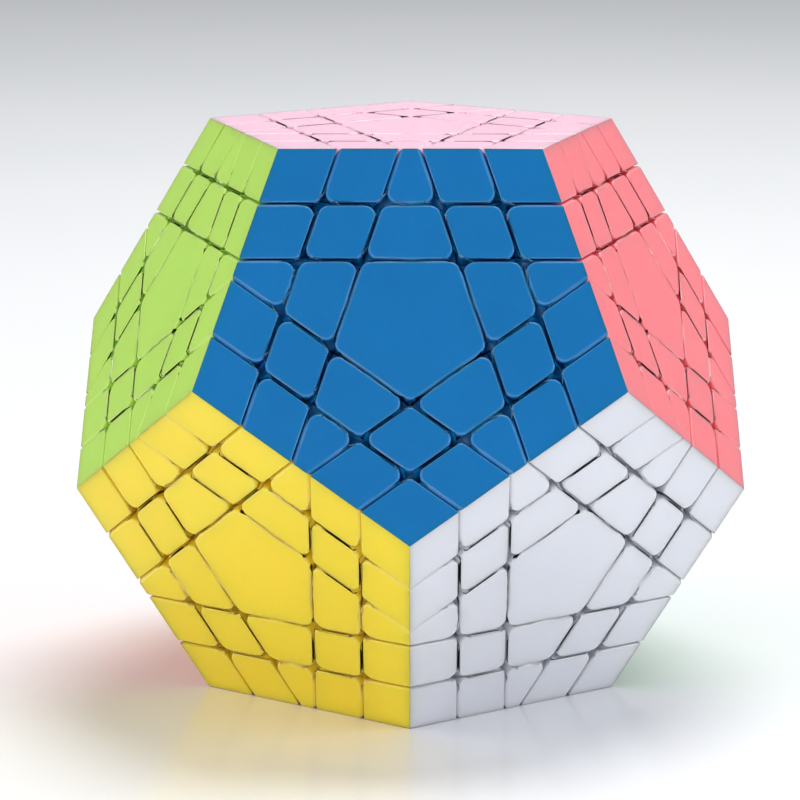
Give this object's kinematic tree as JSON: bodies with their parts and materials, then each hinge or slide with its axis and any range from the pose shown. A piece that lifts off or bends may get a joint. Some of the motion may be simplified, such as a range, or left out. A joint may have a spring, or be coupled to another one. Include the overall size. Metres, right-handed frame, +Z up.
{
  "type": "dodecahedron twisty puzzle",
  "caption": "Dodecahedron twisty puzzle: coloured moulded tiles on hidden feet turn in nested layers about a sprung core.",
  "frame": {"origin": "centre of the flat bottom face, on the vertical five-fold axis", "axes": "+Z up from the purple face through the pink face; -Y towards the blue face, which leans upwards; +X to the right as seen from the front"},
  "size_m": [0.123, 0.1294, 0.1047],
  "materials": {
    "pink_plastic": "satin moulded plastic, coloured through",
    "blue_plastic": "satin moulded plastic, coloured through",
    "coral_plastic": "satin moulded plastic, coloured through",
    "cream_plastic": "satin moulded plastic, coloured through",
    "grey_plastic": "satin moulded plastic, coloured through",
    "lime_plastic": "satin moulded plastic, coloured through",
    "white_plastic": "satin moulded plastic, coloured through",
    "green_plastic": "satin moulded plastic, coloured through",
    "sky_plastic": "satin moulded plastic, coloured through",
    "orange_plastic": "satin moulded plastic, coloured through",
    "yellow_plastic": "satin moulded plastic, coloured through",
    "purple_plastic": "satin moulded plastic, coloured through",
    "foot_plastic": "dark moulded plastic with a slight sheen",
    "stem_plastic": "dark moulded plastic with a slight sheen",
    "core_plastic": "grey moulded plastic",
    "screw_steel": "zinc-plated steel",
    "spring_steel": "drawn steel wire",
    "washer_steel": "stamped steel"
  },
  "bodies": {
    "front_outer": {"front_outer_pink_tiles": "pink_plastic", "front_outer_blue_tiles": "blue_plastic", "front_outer_coral_tiles": "coral_plastic", "front_outer_lime_tiles": "lime_plastic", "front_outer_white_tiles": "white_plastic", "front_outer_yellow_tiles": "yellow_plastic", "front_outer_feet": "foot_plastic", "front_outer_centre_stem": "stem_plastic"},
    "front_second": {"front_second_pink_tiles": "pink_plastic", "front_second_coral_tiles": "coral_plastic", "front_second_lime_tiles": "lime_plastic", "front_second_white_tiles": "white_plastic", "front_second_yellow_tiles": "yellow_plastic", "front_second_feet": "foot_plastic"},
    "rear_outer": {"rear_outer_pink_tiles": "pink_plastic", "rear_outer_coral_tiles": "coral_plastic", "rear_outer_cream_tiles": "cream_plastic", "rear_outer_grey_tiles": "grey_plastic", "rear_outer_green_tiles": "green_plastic", "rear_outer_sky_tiles": "sky_plastic", "rear_outer_feet": "foot_plastic", "rear_outer_centre_stem": "stem_plastic"},
    "rear_second": {"rear_second_pink_tiles": "pink_plastic", "rear_second_coral_tiles": "coral_plastic", "rear_second_grey_tiles": "grey_plastic", "rear_second_green_tiles": "green_plastic", "rear_second_sky_tiles": "sky_plastic", "rear_second_feet": "foot_plastic"},
    "side_outer": {"side_outer_grey_tiles": "grey_plastic", "side_outer_lime_tiles": "lime_plastic", "side_outer_sky_tiles": "sky_plastic", "side_outer_orange_tiles": "orange_plastic", "side_outer_yellow_tiles": "yellow_plastic", "side_outer_purple_tiles": "purple_plastic", "side_outer_feet": "foot_plastic", "side_outer_centre_stem": "stem_plastic"},
    "side_second": {"side_second_grey_tiles": "grey_plastic", "side_second_lime_tiles": "lime_plastic", "side_second_sky_tiles": "sky_plastic", "side_second_yellow_tiles": "yellow_plastic", "side_second_purple_tiles": "purple_plastic", "side_second_feet": "foot_plastic"},
    "core_frame": {"middle_pink_tiles": "pink_plastic", "middle_coral_tiles": "coral_plastic", "middle_grey_tiles": "grey_plastic", "middle_lime_tiles": "lime_plastic", "middle_white_tiles": "white_plastic", "middle_green_tiles": "green_plastic", "middle_sky_tiles": "sky_plastic", "middle_yellow_tiles": "yellow_plastic", "middle_purple_tiles": "purple_plastic", "middle_corner_feet": "foot_plastic", "middle_wing_feet": "foot_plastic", "middle_mid_edge_feet": "foot_plastic", "middle_inset_feet": "foot_plastic", "middle_centre_stems": "stem_plastic", "core": "core_plastic", "screws": "screw_steel", "springs": "spring_steel", "washers": "washer_steel"}
  },
  "joints": [
    {"name": "front_wide_turn", "type": "hinge", "parent": "core_frame", "child": "front_second", "pos_m": [0, 0, 0.05234], "axis": [0, -0.8944, 0.4472], "continuous": true},
    {"name": "front_outer_turn", "type": "hinge", "parent": "front_second", "child": "front_outer", "pos_m": [0, 0, 0.05234], "axis": [0, -0.8944, 0.4472], "continuous": true},
    {"name": "rear_wide_turn", "type": "hinge", "parent": "core_frame", "child": "rear_second", "pos_m": [0, 0, 0.05234], "axis": [0.5257, 0.7236, 0.4472], "continuous": true},
    {"name": "rear_outer_turn", "type": "hinge", "parent": "rear_second", "child": "rear_outer", "pos_m": [0, 0, 0.05234], "axis": [0.5257, 0.7236, 0.4472], "continuous": true},
    {"name": "side_wide_turn", "type": "hinge", "parent": "core_frame", "child": "side_second", "pos_m": [0, 0, 0.05234], "axis": [-0.8507, 0.2764, -0.4472], "continuous": true},
    {"name": "side_outer_turn", "type": "hinge", "parent": "side_second", "child": "side_outer", "pos_m": [0, 0, 0.05234], "axis": [-0.8507, 0.2764, -0.4472], "continuous": true}
  ]
}
